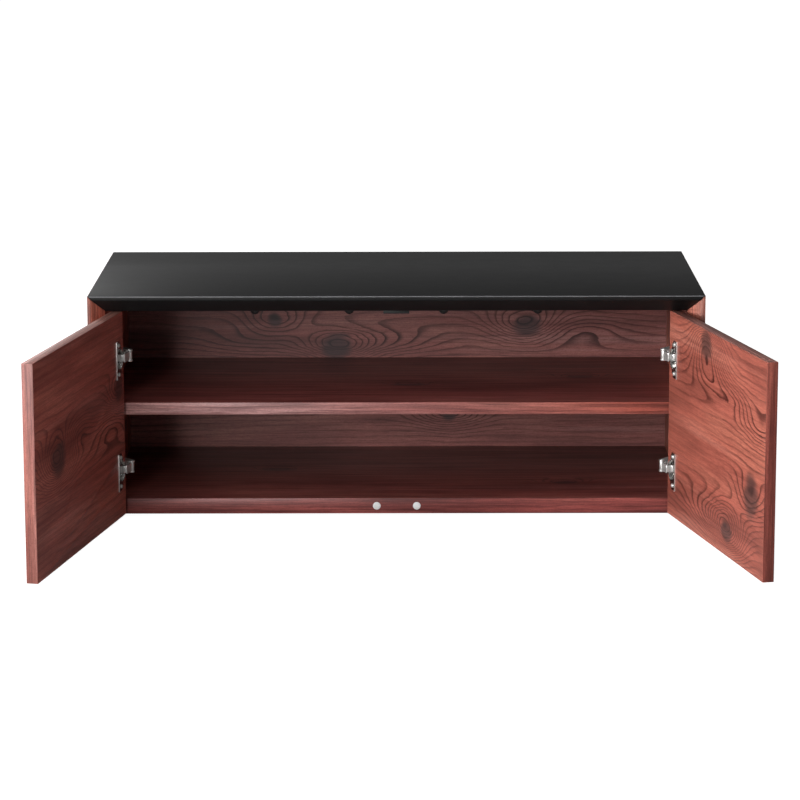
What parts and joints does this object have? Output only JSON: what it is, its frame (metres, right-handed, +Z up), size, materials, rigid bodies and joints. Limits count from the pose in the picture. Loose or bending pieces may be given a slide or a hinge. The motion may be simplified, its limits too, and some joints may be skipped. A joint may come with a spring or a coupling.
{
  "type": "media cabinet",
  "caption": "Low wooden media cabinet with a bevelled frame, a black top, a fixed shelf and paired doors on concealed hinges.",
  "frame": {"origin": "on the floor under the middle of the cabinet body", "axes": "+Z up, +Y towards the rear, +X towards the right door; the doors stand open at rest"},
  "size_m": [1.1273, 0.9049, 0.375],
  "materials": {
    "black_top": "satin black lacquer over board",
    "cedar": "knotty red-brown cedar or pine under satin lacquer, grain along the length",
    "beech": "plain beech and plywood, glued",
    "steel": "zinc-plated steel",
    "black_metal": "black powder coat",
    "black_plastic": "moulded black plastic",
    "white_rubber": "soft white bumper",
    "nickel": "nickel-plated pressed steel"
  },
  "bodies": {
    "cabinet": {"top_panel": "black_top", "side_panel_left": "cedar", "side_panel_right": "cedar", "bottom_panel": "cedar", "back_panel": "cedar", "shelf": "cedar", "mitre_splines": "beech", "panel_dowels": "beech", "cam_bolts": "steel", "cam_locks": "steel", "floor_glides": "black_plastic", "stiffener_bar": "black_metal", "domed_screws": "black_metal", "door_stop": "black_plastic", "door_bumpers": "white_rubber", "mounting_plates_left": "nickel", "mounting_plates_right": "nickel", "hinge_arms_left": "nickel", "hinge_arms_right": "nickel", "arm_pins_left": "steel", "arm_pins_right": "steel", "plate_screws": "nickel", "clamp_screws": "nickel"},
    "left_links": {"outer_links_left": "nickel"},
    "right_links": {"outer_links_right": "nickel"},
    "left_door": {"door_left": "cedar", "hinge_cups_left": "nickel", "cup_pins_left": "steel", "cup_screws_left": "nickel"},
    "right_door": {"door_right": "cedar", "hinge_cups_right": "nickel", "cup_pins_right": "steel", "cup_screws_right": "nickel"}
  },
  "joints": [
    {"name": "left_link_pivot", "type": "hinge", "parent": "cabinet", "child": "left_links", "pos_m": [-0.43678, -0.19101, 0.1775], "axis": [0, 0, 1], "range_deg": [-27.55, 0.97]},
    {"name": "left_door_pivot", "type": "hinge", "parent": "left_links", "child": "left_door", "pos_m": [-0.45268, -0.21507, 0.1775], "axis": [0, 0, 1], "range_deg": [-4.45, 129.03]},
    {"name": "right_link_pivot", "type": "hinge", "parent": "cabinet", "child": "right_links", "pos_m": [0.43678, -0.19101, 0.1775], "axis": [0, 0, 1], "range_deg": [-0.48, 28.04]},
    {"name": "right_door_pivot", "type": "hinge", "parent": "right_links", "child": "right_door", "pos_m": [0.45248, -0.21521, 0.1775], "axis": [0, 0, 1], "range_deg": [-131.31, 2.16]}
  ],
  "couplings": [
    {"joint": "left_link_pivot", "follows": "left_door_pivot", "ratio": -0.21335},
    {"joint": "right_link_pivot", "follows": "right_door_pivot", "ratio": -0.21335}
  ]
}
